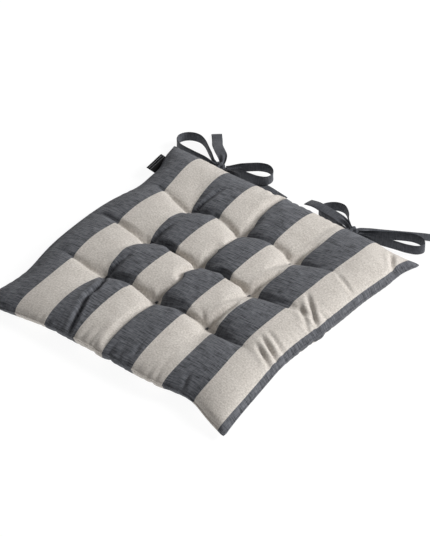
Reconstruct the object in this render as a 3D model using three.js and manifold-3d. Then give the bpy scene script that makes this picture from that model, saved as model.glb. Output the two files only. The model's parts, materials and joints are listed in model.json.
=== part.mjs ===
// A tufted seat pad for a garden chair: two striped cover panels sewn together round the edge over a
// polyester filling, nine tuft tacks through everything, a folded side label, and two pairs of ribbon
// ties at the rear edge, each pair tied in a bow. Millimetres, +Z up, +X to the right, +Y to the rear.
// The origin is under the centre of the footprint, label included, on the face that the pad rests on.
import * as THREE from 'three';
import { mergeVertices } from 'three/addons/utils/BufferGeometryUtils.js';
import Module from 'manifold-3d';

const wasm = await Module();
wasm.setup();

// ---- Driving dimensions -------------------------------------------------------------------------
const HALF = new THREE.Vector2(226, 230); // centre to corner, along X and along Y
const PLAN_CENTRE = new THREE.Vector2(7, -1.5); // the filling pushes the pad out more on the right
const SIDE_SAG = 13; // how far the middle of each side is pulled in
const SEAM_Z_CORNER = 10;
const SEAM_Z_MIDDLE = 21;
const CROWN = 29.5; // how far the filling lifts the top panel above the seam
const CROWN_POWER = 7; // the higher, the flatter the top and the steeper the rim
const UNDERSIDE_POWER = 9;
const CLOTH = 0.9; // thickness of a cover panel
const GAP = 0.3; // clearance between touching pieces
const SEAM_WIDTH = 3; // the sewn edge that stands outside the panels
const SEAM_HEIGHT = 2.6;
const RIM_DROP = 1.5; // the lower panel's rim lies this far below the seam line

const TUFT_PITCH = 93.5;
const TUFT_LEAN = 4; // each row of tufts sits this far to the right of the row in front of it
const TUFT_CENTRE = new THREE.Vector2(-5, 6.5); // the tuft grid sits a little towards the rear left
const TUFT_DEPTH = 22.5; // how far a tack pulls the top panel down
const TUFT_REACH = 22; // radius scale of that dimple
const VALLEY_DEPTH = 8; // the crease between neighbouring tufts
const VALLEY_REACH = 10;
const UNDER_TUFT_RISE = 7;
const UNDER_TUFT_RADIUS = 24;
const THREAD_RADIUS = 1.5;
const TACK_BAR = new THREE.Vector3(9, 2.6, 1.6);

const RIBBON_WIDTH = 17;
const RIBBON_THICKNESS = 1.2;
const KNOT_SIZE = new THREE.Vector3(14, 12, 16);
const BARTACK = new THREE.Vector3(16, 2, 1);
const BARTACK_GAP = 0.9; // clears the seam, which slopes under the bartack
const LABEL = new THREE.Vector3(11, 40, 1.6); // proud of the seam, along it, thickness
const LABEL_Y = 178;
const LABEL_TILT = THREE.MathUtils.degToRad(15);
const LABEL_GAP = 1.2; // from the seam's outer face to the line that the label flips on
const TIE_GAP = 2.4; // from the seam's outer face to the line that the ties swing on
const FOOTPRINT_SHIFT = -3.4; // puts the footprint of pad and label over the origin

const CELLS = 24; // grid cells along each side of a panel
const FILLING_INSET = 2; // cells between the seam and the filling

// ---- Colours ------------------------------------------------------------------------------------
const material = (name, colour, roughness) =>
  Object.assign(new THREE.MeshStandardMaterial({ color: colour, roughness, metalness: 0 }), { name });
const COVER = material('cover_fabric', 0xb9b1a6, 0.95);
const FILLING = material('filling_fibre', 0xf2f1ec, 1.0);
const SEAM_THREAD = material('seam_thread', 0x77726c, 0.9);
const TUFT_THREAD = material('tuft_thread', 0x4b4c50, 0.85);
const RIBBON = material('tie_ribbon', 0x4a4c52, 0.9);
const LABEL_WEAVE = material('label_weave', 0x17181a, 0.7);

const object = new THREE.Group();
object.name = 'chair_seat_pad';

function addMesh(name, geometry, look, parent = object) {
  const mesh = new THREE.Mesh(geometry, look);
  mesh.name = name;
  parent.add(mesh);
  return mesh;
}

// ---- The pad's shape ----------------------------------------------------------------------------
// u and v run from -1 to 1 across the pad. A side's middle is pulled in by SIDE_SAG.
function planPoint(u, v, inset = 0) {
  return new THREE.Vector2(
    PLAN_CENTRE.x + u * (HALF.x - inset - SIDE_SAG * (1 - v * v)),
    PLAN_CENTRE.y + v * (HALF.y - inset - SIDE_SAG * (1 - u * u)),
  );
}

const seamZ = (u, v) => SEAM_Z_CORNER + (SEAM_Z_MIDDLE - SEAM_Z_CORNER) * (1 - u * u * v * v);
const flatness = (u, v, power) => (1 - Math.abs(u) ** power) * (1 - Math.abs(v) ** power);

const TUFTS = [];
for (const [i, column] of ['left', 'middle', 'right'].entries()) {
  for (const [j, row] of ['rear', 'centre', 'front'].entries()) {
    TUFTS.push({
      name: `tuft_tack_${row}_${column}`,
      x: TUFT_CENTRE.x + (i - 1) * TUFT_PITCH + (1 - j) * TUFT_LEAN,
      y: TUFT_CENTRE.y + (1 - j) * TUFT_PITCH,
    });
  }
}

// A crease runs along every line of tufts and fades out beyond the last one.
function valley(across, along) {
  const offLine = Math.min(...[-1, 0, 1].map((k) => Math.abs(across - k * TUFT_PITCH)));
  const beyond = Math.max(0, Math.abs(along) - TUFT_PITCH) / TUFT_PITCH;
  return Math.exp(-0.5 * (offLine / VALLEY_REACH) ** 2) * Math.max(0, 1 - beyond);
}

function topZ(u, v) {
  const p = planPoint(u, v);
  const tuft = Math.max(
    ...TUFTS.map((t) => Math.exp((-0.5 * ((p.x - t.x) ** 2 + (p.y - t.y) ** 2)) / TUFT_REACH ** 2)),
  );
  const dy = p.y - TUFT_CENTRE.y;
  const dx = p.x - TUFT_CENTRE.x - (dy / TUFT_PITCH) * TUFT_LEAN;
  const crease = Math.max(valley(dx, dy), valley(dy, dx));
  const pulled = Math.max(TUFT_DEPTH * tuft, VALLEY_DEPTH * crease);
  return seamZ(u, v) + (CROWN - pulled) * flatness(u, v, CROWN_POWER);
}

function undersideZ(u, v) {
  const p = planPoint(u, v);
  let rise = 0;
  for (const t of TUFTS) {
    const r = Math.hypot(p.x - t.x, p.y - t.y) / UNDER_TUFT_RADIUS;
    if (r < 1) rise = Math.max(rise, UNDER_TUFT_RISE * Math.cos((r * Math.PI) / 2) ** 2);
  }
  const rim = seamZ(u, v) * (1 - flatness(u, v, UNDERSIDE_POWER)) - RIM_DROP;
  return Math.max(0, rise, rim);
}

// ---- Sheets: one closed body between two height functions over the same grid ----------------------
function sheetGeometry(inset, lower, upper) {
  const n = CELLS - 2 * inset;
  const positions = [];
  const indices = [];
  const at = (i, j, layer) => (layer * (n + 1) + i) * (n + 1) + j;
  for (const height of [lower, upper]) {
    for (let i = 0; i <= n; i++) {
      for (let j = 0; j <= n; j++) {
        const u = (2 * (i + inset)) / CELLS - 1;
        const v = (2 * (j + inset)) / CELLS - 1;
        const p = planPoint(u, v, SEAM_WIDTH + GAP);
        positions.push(p.x, p.y, height(u, v));
      }
    }
  }
  const quad = (a, b, c, d) => indices.push(a, b, c, a, c, d);
  for (let i = 0; i < n; i++) {
    for (let j = 0; j < n; j++) {
      quad(at(i, j, 1), at(i + 1, j, 1), at(i + 1, j + 1, 1), at(i, j + 1, 1));
      quad(at(i, j, 0), at(i, j + 1, 0), at(i + 1, j + 1, 0), at(i + 1, j, 0));
    }
    quad(at(i, 0, 0), at(i + 1, 0, 0), at(i + 1, 0, 1), at(i, 0, 1));
    quad(at(i + 1, n, 0), at(i, n, 0), at(i, n, 1), at(i + 1, n, 1));
    quad(at(0, i + 1, 0), at(0, i, 0), at(0, i, 1), at(0, i + 1, 1));
    quad(at(n, i, 0), at(n, i + 1, 0), at(n, i + 1, 1), at(n, i, 1));
  }
  const geometry = new THREE.BufferGeometry();
  geometry.setAttribute('position', new THREE.Float32BufferAttribute(positions, 3));
  geometry.setIndex(indices);
  return geometry;
}

// ---- Booleans -----------------------------------------------------------------------------------
function toSolid(geometry) {
  const bare = geometry.clone();
  bare.deleteAttribute('normal');
  bare.deleteAttribute('uv');
  const merged = mergeVertices(bare);
  return new wasm.Manifold(
    new wasm.Mesh({
      numProp: 3,
      vertProperties: new Float32Array(merged.attributes.position.array),
      triVerts: new Uint32Array(merged.index.array),
    }),
  );
}

function toGeometry(solid) {
  const mesh = solid.getMesh();
  const geometry = new THREE.BufferGeometry();
  geometry.setAttribute('position', new THREE.Float32BufferAttribute(mesh.vertProperties, 3));
  geometry.setIndex([...mesh.triVerts]);
  return geometry;
}

function threadColumn(t, radius, bottom, top) {
  const column = new THREE.CylinderGeometry(radius, radius, top - bottom, 8);
  column.rotateX(Math.PI / 2);
  column.translate(t.x, t.y, (top + bottom) / 2);
  return column;
}

// The height functions take u and v; this finds them for a plan position.
function atPlan(x, y, height) {
  const inset = SEAM_WIDTH + GAP;
  let u = 0;
  let v = 0;
  for (let step = 0; step < 8; step++) {
    u = (x - PLAN_CENTRE.x) / (HALF.x - inset - SIDE_SAG * (1 - v * v));
    v = (y - PLAN_CENTRE.y) / (HALF.y - inset - SIDE_SAG * (1 - u * u));
  }
  return height(u, v);
}

// ---- Covers, filling and tuft tacks ---------------------------------------------------------------
function drilled(geometry) {
  let solid = toSolid(geometry);
  for (const t of TUFTS) {
    solid = solid.subtract(toSolid(threadColumn(t, THREAD_RADIUS + GAP, -10, 80)));
  }
  return toGeometry(solid);
}

function addPad() {
  addMesh('top_cover', drilled(sheetGeometry(0, topZ, (u, v) => topZ(u, v) + CLOTH)), COVER);
  addMesh(
    'bottom_cover',
    drilled(sheetGeometry(0, undersideZ, (u, v) => undersideZ(u, v) + CLOTH)),
    COVER,
  );
  addMesh(
    'filling',
    drilled(
      sheetGeometry(
        FILLING_INSET,
        (u, v) => undersideZ(u, v) + CLOTH + GAP,
        (u, v) => topZ(u, v) - GAP,
      ),
    ),
    FILLING,
  );
}

// A tack is one thread through the pad with a flat stitched bar on the top and on the underside. Each
// bar clears the highest cloth under it.
function addTuftTacks() {
  for (const t of TUFTS) {
    const around = [-1, 0, 1].flatMap((a) => [-1, 0, 1].map((b) => [a, b]));
    const reach = TACK_BAR.x;
    const clothTop = Math.max(
      ...around.map(([a, b]) => atPlan(t.x + a * reach, t.y + b * reach, topZ)),
    ) + CLOTH;
    const clothUnder = Math.min(
      ...around.map(([a, b]) => atPlan(t.x + a * reach, t.y + b * reach, undersideZ)),
    );
    const barTop = new THREE.BoxGeometry(...TACK_BAR.toArray());
    barTop.translate(t.x, t.y, clothTop + GAP + TACK_BAR.z / 2);
    const barUnder = new THREE.BoxGeometry(...TACK_BAR.toArray());
    barUnder.translate(t.x, t.y, clothUnder - GAP - TACK_BAR.z / 2);
    const column = threadColumn(t, THREAD_RADIUS, clothUnder - GAP - 1, clothTop + GAP + 1);
    const solid = toSolid(barTop).add(toSolid(barUnder)).add(toSolid(column));
    addMesh(t.name, toGeometry(solid), TUFT_THREAD);
  }
}

// ---- The sewn edge ----------------------------------------------------------------------------------
function perimeterPoint(step) {
  const side = Math.floor(step / CELLS) % 4;
  const s = (2 * (step % CELLS)) / CELLS - 1;
  return [[s, -1], [1, s], [-s, 1], [-1, -s]][side];
}

function addEdgeSeam() {
  const count = 4 * CELLS;
  const positions = [];
  const indices = [];
  for (let k = 0; k < count; k++) {
    const [u, v] = perimeterPoint(k);
    for (const [inset, dz] of [
      [0, -SEAM_HEIGHT / 2],
      [0, SEAM_HEIGHT / 2],
      [SEAM_WIDTH, SEAM_HEIGHT / 2],
      [SEAM_WIDTH, -SEAM_HEIGHT / 2],
    ]) {
      const p = planPoint(u, v, inset);
      positions.push(p.x, p.y, seamZ(u, v) + dz);
    }
  }
  for (let k = 0; k < count; k++) {
    const next = (k + 1) % count;
    for (let c = 0; c < 4; c++) {
      const d = (c + 1) % 4;
      indices.push(4 * k + c, 4 * next + c, 4 * next + d, 4 * k + c, 4 * next + d, 4 * k + d);
    }
  }
  const geometry = new THREE.BufferGeometry();
  geometry.setAttribute('position', new THREE.Float32BufferAttribute(positions, 3));
  geometry.setIndex(indices);
  addMesh('edge_seam', geometry, SEAM_THREAD);
}

// ---- The side label -------------------------------------------------------------------------------
// A short folded woven tape, sewn into the left seam near the rear corner and tilted up a little.
function addSideLabel() {
  const v = (LABEL_Y - PLAN_CENTRE.y) / HALF.y;
  const seamX = planPoint(-1, v).x;
  const slope = (planPoint(-1, v + 0.05).x - planPoint(-1, v - 0.05).x) / (0.1 * HALF.y);
  const holder = new THREE.Group();
  holder.position.set(seamX - LABEL_GAP, LABEL_Y, seamZ(-1, v));
  holder.rotation.z = -Math.atan(slope);
  object.add(holder);
  const box = new THREE.BoxGeometry(LABEL.x, LABEL.y, LABEL.z);
  box.translate(-LABEL.x / 2, 0, 0);
  const label = addMesh('side_label', box, LABEL_WEAVE, holder);
  label.rotation.y = LABEL_TILT;
}

// ---- Ribbons ----------------------------------------------------------------------------------------
// A ribbon follows its points. Standing, its width is upright; flat, its width lies level. It is
// gathered to a third of its width where it meets a knot.
function ribbonGeometry(points, { standing, gathered }) {
  const curve = new THREE.CatmullRomCurve3(points.map((p) => new THREE.Vector3(...p)));
  const steps = Math.max(4, Math.round(curve.getLength() / 9));
  const positions = [];
  const indices = [];
  const up = new THREE.Vector3(0, 0, 1);
  for (let k = 0; k <= steps; k++) {
    const t = k / steps;
    const centre = curve.getPointAt(t);
    const along = curve.getTangentAt(t);
    const level = new THREE.Vector3().crossVectors(up, along).normalize();
    const upright = new THREE.Vector3().crossVectors(along, level).normalize();
    const across = standing ? upright : level;
    const through = standing ? level.clone().negate() : upright;
    const fromKnot = Math.min(1, Math.min(gathered.start ? t : 1, gathered.end ? 1 - t : 1) * steps / 3);
    const width = RIBBON_WIDTH * (0.35 + 0.65 * fromKnot);
    for (const [a, b] of [[-1, -1], [1, -1], [1, 1], [-1, 1]]) {
      const corner = centre
        .clone()
        .addScaledVector(across, (a * width) / 2)
        .addScaledVector(through, (b * RIBBON_THICKNESS) / 2);
      positions.push(corner.x, corner.y, corner.z);
    }
  }
  for (let k = 0; k < steps; k++) {
    for (let c = 0; c < 4; c++) {
      const d = (c + 1) % 4;
      const a = 4 * k + c;
      const b = 4 * k + d;
      indices.push(a, b, b + 4, a, b + 4, a + 4);
    }
  }
  indices.push(0, 2, 1, 0, 3, 2);
  const last = 4 * steps;
  indices.push(last, last + 1, last + 2, last, last + 2, last + 3);
  const geometry = new THREE.BufferGeometry();
  geometry.setAttribute('position', new THREE.Float32BufferAttribute(positions, 3));
  geometry.setIndex(indices);
  return geometry;
}

// A knot is a small pillow: a sphere squared off and stretched to its three sizes.
function knotGeometry() {
  const ball = new THREE.SphereGeometry(1, 12, 8);
  const p = ball.attributes.position;
  for (let k = 0; k < p.count; k++) {
    const c = [p.getX(k), p.getY(k), p.getZ(k)].map((a) => Math.sign(a) * Math.abs(a) ** 0.6);
    p.setXYZ(k, (c[0] * KNOT_SIZE.x) / 2, (c[1] * KNOT_SIZE.y) / 2, (c[2] * KNOT_SIZE.z) / 2);
  }
  return ball;
}

// Each bow has two ties, a and b, side by side in the seam. A tie goes from its root into the knot,
// round its loop, back into the knot, and out as its tail. Routes are in millimetres in the pad's frame.
const BOWS = {
  left: {
    knot: [-141, 234, 12],
    loopA: [
      [-149, 236, 11], [-162, 243, 10], [-181, 256, 9.6], [-199, 269, 9.6], [-212, 274, 9.6],
      [-225, 272, 9.6], [-235, 264, 9.6], [-239, 253, 9.6], [-235, 243, 9.6], [-222, 237, 9.6],
      [-200, 235, 9.6], [-176, 234, 10], [-160, 233, 10.5], [-149, 233, 11],
    ],
    loopB: [
      [-133, 237, 12], [-120, 249, 12], [-106, 262, 12], [-93, 272, 12], [-80, 276, 12],
      [-69, 272, 12], [-62, 262, 12], [-64, 251, 12], [-75, 244, 12], [-90, 241, 12],
      [-106, 239, 12], [-120, 236, 12], [-133, 232, 12],
    ],
    tailA: [
      [-143.5, 241, 15], [-151, 251, 17], [-166, 263, 16], [-180, 276, 11], [-193, 292, 5],
      [-206, 307, 2],
    ],
    tailB: [
      [-137, 241, 5], [-124, 246, 2.4], [-106, 247, 1.1], [-84, 247, 1.1], [-62, 246, 1.1],
      [-42, 243, 1.1], [-23, 240, 1.1],
    ],
  },
  right: {
    knot: [113, 234, 12],
    loopA: [
      [105, 237, 10], [93, 250, 9.6], [82, 263, 9.6], [70, 271, 9.6], [58, 270, 9.6],
      [48, 263, 9.6], [42, 253, 9.6], [42, 243, 9.6], [50, 237, 9.6], [66, 235, 9.6],
      [85, 233, 9.6], [105, 231, 10],
    ],
    loopB: [
      [121, 237, 12], [137, 245, 11], [156, 258, 10], [176, 271, 9.6], [195, 279, 9.6],
      [211, 278, 9.6], [219, 269, 9.6], [214, 259, 9.6], [199, 252, 9.6], [179, 248, 9.6],
      [158, 243, 10], [138, 237, 11], [121, 232, 12],
    ],
    tailA: [
      [104, 232, 21], [88, 236, 21.4], [70, 239, 21.4], [52, 241, 21], [36, 244, 19.4],
      [17, 248, 12],
    ],
    tailB: [
      [117, 243, 10], [125, 253, 5], [139, 265, 2], [160, 279, 1.1], [183, 292, 1.1],
      [205, 303, 1.1], [226, 311, 1.1],
    ],
  },
};

function addTies(side) {
  const bow = BOWS[side];
  const [x, knotY] = bow.knot;
  const u = (x - PLAN_CENTRE.x) / HALF.x;
  const seamY = planPoint(u, 1).y;
  const z = seamZ(u, 1);
  for (const [letter, dz] of [['a', 0.8], ['b', -0.8]]) {
    const root = [
      [x, seamY + TIE_GAP, z + dz],
      [x, (seamY + knotY - KNOT_SIZE.y / 2) / 2, z + dz],
      [x, knotY - KNOT_SIZE.y / 2 - GAP, z + dz],
    ];
    addMesh(
      `${side}_tie_${letter}_root`,
      ribbonGeometry(root, { standing: false, gathered: {} }),
      RIBBON,
    );
  }
  const stretches = [
    ['a_loop', bow.loopA, true, { start: true, end: true }],
    ['b_loop', bow.loopB, true, { start: true, end: true }],
    ['a_tail', bow.tailA, false, { start: true }],
    ['b_tail', bow.tailB, false, { start: true }],
  ];
  for (const [name, points, standing, gathered] of stretches) {
    addMesh(`${side}_tie_${name}`, ribbonGeometry(points, { standing, gathered }), RIBBON);
  }
  const knot = addMesh(`${side}_bow_knot`, knotGeometry(), RIBBON);
  knot.position.set(...bow.knot);
  const bartack = addMesh(
    `${side}_tie_bartack`,
    new THREE.BoxGeometry(...BARTACK.toArray()),
    SEAM_THREAD,
  );
  bartack.position.set(x, seamY - SEAM_WIDTH / 2, z + SEAM_HEIGHT / 2 + BARTACK_GAP + BARTACK.z / 2);
}

addPad();
addTuftTacks();
addEdgeSeam();
addSideLabel();
addTies('left');
addTies('right');
object.position.x = FOOTPRINT_SHIFT;

export default object;
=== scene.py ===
"""A tufted chair seat pad with two ribbon bows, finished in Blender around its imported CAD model.

Lengths are in millimetres unless a name says otherwise; MM turns them into Blender's metres.
The pad's two cover panels are cut flat, sewn together, tufted and swollen by the small cloth
solver below, and everything sewn to them is placed on the result."""

import json
import math

import bpy
import numpy as np
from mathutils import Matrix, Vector


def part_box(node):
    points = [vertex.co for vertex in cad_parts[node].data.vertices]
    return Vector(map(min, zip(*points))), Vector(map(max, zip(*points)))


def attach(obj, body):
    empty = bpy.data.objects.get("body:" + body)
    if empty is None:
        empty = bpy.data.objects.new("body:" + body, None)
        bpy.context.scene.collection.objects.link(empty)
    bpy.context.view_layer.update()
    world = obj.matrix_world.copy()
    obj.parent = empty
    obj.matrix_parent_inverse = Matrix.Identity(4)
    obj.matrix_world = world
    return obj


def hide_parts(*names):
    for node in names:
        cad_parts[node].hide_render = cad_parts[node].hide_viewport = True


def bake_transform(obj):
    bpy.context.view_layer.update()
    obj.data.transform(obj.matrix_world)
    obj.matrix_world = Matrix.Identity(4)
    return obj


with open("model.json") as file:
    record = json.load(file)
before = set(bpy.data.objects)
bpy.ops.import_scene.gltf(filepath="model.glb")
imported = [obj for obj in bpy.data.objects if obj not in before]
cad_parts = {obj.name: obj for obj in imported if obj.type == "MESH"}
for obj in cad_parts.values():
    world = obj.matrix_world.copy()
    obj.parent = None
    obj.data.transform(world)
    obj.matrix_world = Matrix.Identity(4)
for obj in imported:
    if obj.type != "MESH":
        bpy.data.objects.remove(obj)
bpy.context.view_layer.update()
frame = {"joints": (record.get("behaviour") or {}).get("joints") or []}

MM = 0.001
UP = np.array([0.0, 0.0, 1.0])
CLOTH_MAP = "cloth"  # the UV map that holds a point's place on the flat cloth, in metres


def box_mm(node):
    low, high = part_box(node)
    return np.array(low) / MM, np.array(high) / MM


def middle_and_half(node):
    low, high = box_mm(node)
    return (low + high) / 2, (high - low) / 2


def joint_named(name):
    """Where a joint of the frame turns, in millimetres, and its axis."""
    joint = next(j for j in frame["joints"] if j["name"] == name)
    return np.array(joint["pos_m"]) / MM, np.array(joint["axis"], float)


def add_object(name, data):
    added = bpy.data.objects.new(name, data)
    bpy.context.scene.collection.objects.link(added)
    return added


def aim(thing, direction):
    """Turns a camera or a lamp to face along a direction."""
    thing.rotation_mode = "QUATERNION"
    thing.rotation_quaternion = Vector(direction).to_track_quat("-Z", "Y")


# ---- Driving sizes --------------------------------------------------------------------------
PAD_SHIFT = -3.4  # where the pad's own origin lies along X in the frame
RIBBON_WIDTH = 17
RIBBON_THICKNESS = 1.2
CLOTH_THICKNESS = 0.5

STRIPE_FIRST = 66  # the dark stripe along the left edge of the cut cloth
STRIPE = 57

PANEL_WIDTH, PANEL_DEPTH = 477, 478  # each cover panel as cut, inside its seam allowance
TUFT_CLOTH_X = dict(left=124, middle=231, right=338)  # tuft marks, from the panel's left edge
TUFT_CLOTH_Y = dict(front=139, centre=247, rear=355)  # and from its front edge
ROWS, COLUMNS = ("front", "centre", "rear"), ("left", "middle", "right")
TUFTS = [(row, column) for row in ROWS for column in COLUMNS]


# ---- Camera ---------------------------------------------------------------------------------
def make_camera():
    azimuth, elevation = math.radians(38.0), math.radians(40.3)
    distance, lens_mm = 4.0, 181.0
    slide_right, slide_up = 24 * MM, 27 * MM
    back = Vector((
        math.sin(azimuth) * math.cos(elevation),
        -math.cos(azimuth) * math.cos(elevation),
        math.sin(elevation),
    ))
    right = Vector((math.cos(azimuth), math.sin(azimuth), 0))
    up = back.cross(right)
    data = bpy.data.cameras.new("camera")
    data.lens = lens_mm
    data.sensor_width = 36
    data.clip_start, data.clip_end = 0.1, 200
    camera = add_object("camera", data)
    middle = Vector((PAD_SHIFT * MM, 0, 0))
    camera.location = middle + back * distance + right * slide_right + up * slide_up
    aim(camera, -back)
    bpy.context.scene.camera = camera


# ---- Materials ------------------------------------------------------------------------------
class Look:
    """A material under construction: one Principled shader and the nodes that feed it."""

    def __init__(self, name, roughness, sheen=0.0, specular=0.3):
        self.material = bpy.data.materials.new(name)
        self.material.use_nodes = True
        self.tree = self.material.node_tree
        self.shader = self.tree.nodes["Principled BSDF"]
        self.shader.inputs["Roughness"].default_value = roughness
        self.shader.inputs["Sheen Weight"].default_value = sheen
        self.shader.inputs["Sheen Roughness"].default_value = 0.5
        self.shader.inputs["Specular IOR Level"].default_value = specular

    def node(self, kind, settings=None, **inputs):
        made = self.tree.nodes.new("ShaderNode" + kind)
        for key, value in (settings or {}).items():
            setattr(made, key, value)
        for key, value in inputs.items():
            slot = made.inputs[int(key[1:]) if key[1:].isdigit() else key]
            self.feed(slot, value)
        return made

    def feed(self, slot, value):
        if isinstance(value, bpy.types.NodeSocket):
            self.tree.links.new(value, slot)
        else:
            slot.default_value = value

    def math(self, operation, *values):
        named = {f"i{k}": v for k, v in enumerate(values)}
        return self.node("Math", dict(operation=operation), **named).outputs[0]

    def cloth_place(self):
        """The point's place on the flat cloth, in metres."""
        return self.node("UVMap", dict(uv_map=CLOTH_MAP)).outputs["UV"]

    def across(self, place):
        return self.node("SeparateXYZ", Vector=place).outputs["X"]

    def noise(self, place, scale, detail=2.0, stretch=(1, 1, 1)):
        """Noise from 0 to 1; stretch is how many times finer it is along each direction."""
        moved = self.node("VectorMath", dict(operation="MULTIPLY"), i0=place, i1=stretch).outputs[0]
        return self.node("TexNoise", Vector=moved, Scale=scale, Detail=detail).outputs["Fac"]

    def mix(self, factor, one, two):
        """Between two colours, each four numbers or a socket."""
        made = self.node("Mix", dict(data_type="RGBA"))
        self.feed(made.inputs["Factor"], factor)
        self.feed(made.inputs[6], one)
        self.feed(made.inputs[7], two)
        return made.outputs[2]

    def spread(self, value, low, high):
        """Stretches the values between low and high over 0 to 1."""
        return self.node("MapRange", i0=value, i1=low, i2=high).outputs[0]

    def weave(self, place, pitch_m):
        """The height of a plain weave: threads that pass over and under each other."""
        wave_scale = math.pi / 10 / pitch_m
        across = self.node("TexWave", dict(bands_direction="X"), Vector=place, Scale=wave_scale)
        along = self.node("TexWave", dict(bands_direction="Y"), Vector=place, Scale=wave_scale)
        checks = self.node("TexChecker", Vector=place, Scale=1 / pitch_m).outputs["Fac"]
        over = self.math("MULTIPLY", across.outputs["Fac"], checks)
        under = self.math("MULTIPLY", along.outputs["Fac"], self.math("SUBTRACT", 1.0, checks))
        return self.math("ADD", over, under)

    def finish(self, colour, height=None, bump_strength=0.3, bump_depth_m=0.0003):
        self.feed(self.shader.inputs["Base Color"], colour)
        if height is not None:
            bump = self.node("Bump", Strength=bump_strength, Distance=bump_depth_m, Height=height)
            self.tree.links.new(bump.outputs["Normal"], self.shader.inputs["Normal"])
        return self.material


CHARCOAL_DEEP = (0.036, 0.038, 0.044, 1)
CHARCOAL_LIGHT = (0.178, 0.184, 0.203, 1)
GREIGE_DEEP = (0.47, 0.430, 0.388, 1)
GREIGE_LIGHT = (0.73, 0.688, 0.638, 1)
THREAD_PITCH_M = 0.0008


def melange(look, place, deep, light, length_scale, contrast):
    """Uneven yarn: short light and dark slubs along the weft, and finer ones along the warp."""
    weft = look.noise(place, 1.0, 3.0, (length_scale, 430, 1))
    warp = look.noise(place, 1.0, 2.0, (480, length_scale * 1.6, 1))
    cloudy = look.noise(place, 1.0, 2.0, (45, 60, 1))
    both = look.math("ADD", look.math("MULTIPLY", weft, 0.6), look.math("MULTIPLY", warp, 0.25))
    mixed = look.math("ADD", both, look.math("MULTIPLY", cloudy, 0.15))
    return look.mix(look.spread(mixed, 0.5 - contrast, 0.5 + contrast), deep, light)


def cover_fabric():
    """Wide charcoal and greige stripes, woven in one cloth."""
    look = Look("cover_fabric", roughness=0.92, sheen=0.12, specular=0.2)
    place = look.cloth_place()
    dark = melange(look, place, CHARCOAL_DEEP, CHARCOAL_LIGHT, 60, 0.14)
    light = melange(look, place, GREIGE_DEEP, GREIGE_LIGHT, 330, 0.135)
    past_first = look.math("SUBTRACT", look.across(place), STRIPE_FIRST * MM)
    from_first = look.math("MAXIMUM", past_first, -MM)
    in_pair = look.math("FLOORED_MODULO", from_first, 2 * STRIPE * MM)
    is_light = look.math("LESS_THAN", in_pair, STRIPE * MM)
    weave = look.weave(place, THREAD_PITCH_M)
    slubs = look.noise(place, 1.0, 2.0, (80, 430, 1))
    height = look.math("ADD", weave, look.math("MULTIPLY", slubs, 0.8))
    return look.finish(look.mix(is_light, dark, light), height, 0.5, 0.0005)


def ribbon_cloth():
    """The charcoal cloth of the stripes, folded into tape."""
    look = Look("tie_ribbon", roughness=0.9, sheen=0.15, specular=0.2)
    place = look.cloth_place()
    colour = melange(look, place, (0.030, 0.032, 0.038, 1), (0.095, 0.100, 0.115, 1), 90, 0.2)
    return look.finish(colour, look.weave(place, THREAD_PITCH_M), 0.35, 0.0003)


def thread_look(name, deep, light):
    """Twisted sewing thread, with a fine twist along it."""
    look = Look(name, roughness=0.75, sheen=0.2)
    place = look.node("TexCoord").outputs["Object"]
    twist = look.noise(place, 1800.0, 1.0)
    return look.finish(look.mix(twist, deep, light), twist, 0.4, 0.0002)


LINE_INSET, LINE_HALF = 1.9, 0.2  # the label's woven lines: from its edge, and half their width


def label_tape():
    """Dense black tape with a plain pale line woven along each long edge."""
    look = Look("label_weave", roughness=0.8, specular=0.15)
    place = look.cloth_place()
    from_edge = look.math("PINGPONG", look.across(place), LABEL_REACH * MM)
    on_line = look.math("COMPARE", from_edge, LINE_INSET * MM, LINE_HALF * MM)
    on_other = look.math("COMPARE", from_edge, (LABEL_REACH - LINE_INSET) * MM, LINE_HALF * MM)
    fine = look.noise(place, 1.0, 2.0, (1500, 400, 1))
    black = look.mix(fine, (0.003, 0.003, 0.0035, 1), (0.010, 0.010, 0.011, 1))
    line = look.math("MAXIMUM", on_line, on_other)
    colour = look.mix(line, black, (0.2, 0.2, 0.21, 1))
    return look.finish(colour, look.weave(place, 0.0005), 0.3, 0.0002)


def wadding():
    """White polyester fibre."""
    look = Look("filling_fibre", roughness=1.0, sheen=0.3, specular=0.1)
    place = look.node("TexCoord").outputs["Object"]
    tangle = look.noise(place, 260.0, 6.0)
    colour = look.mix(tangle, (0.72, 0.71, 0.68, 1), (0.93, 0.93, 0.91, 1))
    return look.finish(colour, tangle, 0.8, 0.002)


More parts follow.
